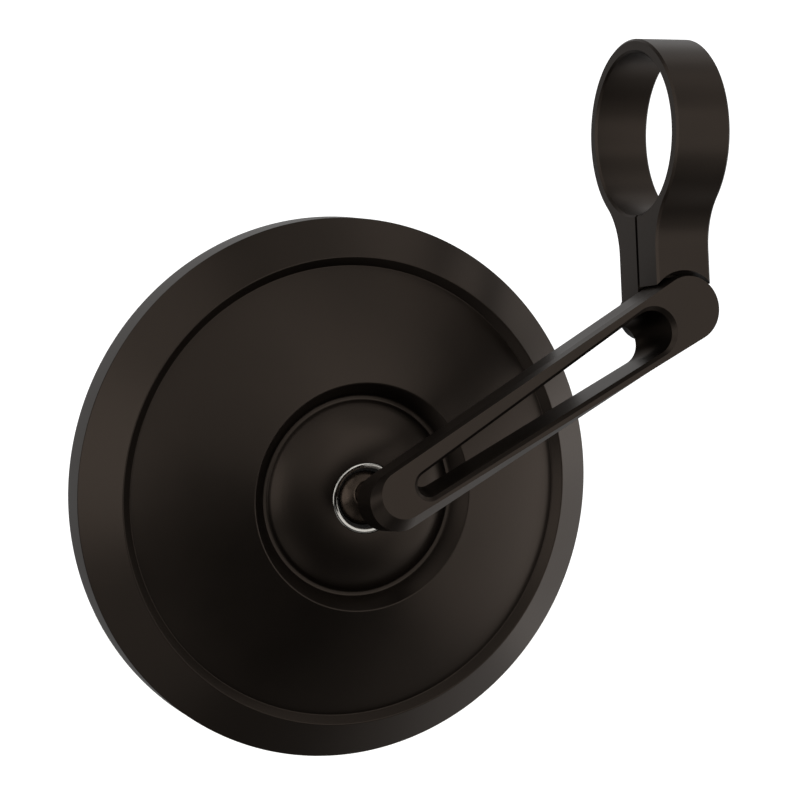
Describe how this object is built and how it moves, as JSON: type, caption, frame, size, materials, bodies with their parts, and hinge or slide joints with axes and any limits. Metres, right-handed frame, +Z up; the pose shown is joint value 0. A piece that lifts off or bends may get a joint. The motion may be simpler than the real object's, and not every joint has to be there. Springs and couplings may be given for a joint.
{
  "type": "motorcycle bar end mirror",
  "caption": "Round motorcycle bar end mirror: turned metal housing on a ball joint, slotted swivel arm and a split clamp that grips the handlebar.",
  "frame": {"origin": "centre of the clamp's bore, on the handlebar's axis", "axes": "+X along the handlebar, +Z up, glass towards +Y, arm and mirror head towards -X and down"},
  "size_m": [0.0839, 0.0397, 0.0965],
  "materials": {
    "black_anodised_aluminium": "satin black anodised",
    "polished_steel": "polished",
    "black_oxide_steel": "black oxide",
    "black_acetal": "moulded",
    "adhesive_foam": "matt",
    "mirror_glass": "silvered glass"
  },
  "bodies": {
    "clamp": {"clamp_ring": "black_anodised_aluminium", "clamp_screw": "black_oxide_steel", "pivot_washer": "black_acetal", "spring_washer": "black_oxide_steel"},
    "arm": {"arm": "black_anodised_aluminium", "pivot_screw": "black_oxide_steel", "ball_stud": "polished_steel"},
    "front_bearing": {"front_liner": "black_acetal"},
    "rear_bearing": {"rear_liner": "black_acetal"},
    "head": {"mirror_housing": "black_anodised_aluminium", "socket_cup": "polished_steel", "pressure_ring": "black_acetal", "disc_spring": "polished_steel", "retainer_plate": "black_oxide_steel", "plate_screws": "black_oxide_steel", "backing_pad": "adhesive_foam", "mirror_glass": "mirror_glass"}
  },
  "joints": [
    {"name": "arm_swivel", "type": "hinge", "parent": "clamp", "child": "arm", "pos_m": [0, 0, -0.0244], "axis": [0, -1, 0], "range_deg": [0, 122]},
    {"name": "head_tilt", "type": "hinge", "parent": "arm", "child": "front_bearing", "pos_m": [-0.04221, 0.012, -0.04746], "axis": [1, 0, 0], "range_deg": [-22.3, 7.7]},
    {"name": "head_pan", "type": "hinge", "parent": "front_bearing", "child": "rear_bearing", "pos_m": [-0.04221, 0.012, -0.04746], "axis": [0, -0.1271, 0.9919], "range_deg": [-15, 15]},
    {"name": "head_spin", "type": "hinge", "parent": "rear_bearing", "child": "head", "pos_m": [-0.04221, 0.012, -0.04746], "axis": [0, -0.9919, -0.1271], "continuous": true}
  ]
}
